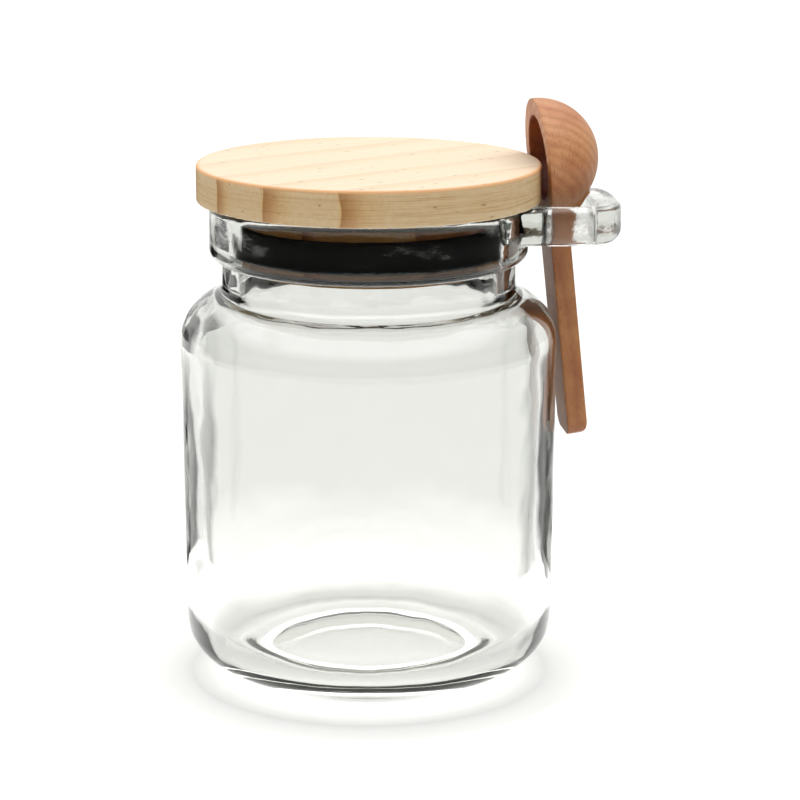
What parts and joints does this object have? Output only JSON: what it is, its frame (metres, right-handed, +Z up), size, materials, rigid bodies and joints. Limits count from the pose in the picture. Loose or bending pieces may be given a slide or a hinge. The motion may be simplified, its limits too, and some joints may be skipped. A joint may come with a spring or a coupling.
{
  "type": "glass honey jar with wooden lid and spoon",
  "caption": "Small empty clear glass honey jar with a wooden lid on a rubber ring, and a short wooden spoon hanging in the glass ear at its collar.",
  "frame": {"origin": "middle of the object's footprint, on the surface that the jar stands on; the jar's own axis is 6.4 mm towards -X from it, because the ear and the spoon stick out at +X", "axes": "+Z up through the lid, +X towards the ear and the spoon, -Y towards the picture's camera"},
  "size_m": [0.0908, 0.078, 0.1212],
  "materials": {
    "glass": "clear soda-lime glass, fire polished, slightly uneven",
    "pine": "pale pine, sanded, unvarnished",
    "rubber": "black moulded rubber, satin",
    "beech": "orange-brown beech, sanded, unvarnished"
  },
  "bodies": {
    "root": {"jar": "glass", "lid": "pine", "ring": "rubber", "spoon": "beech"}
  },
  "joints": []
}
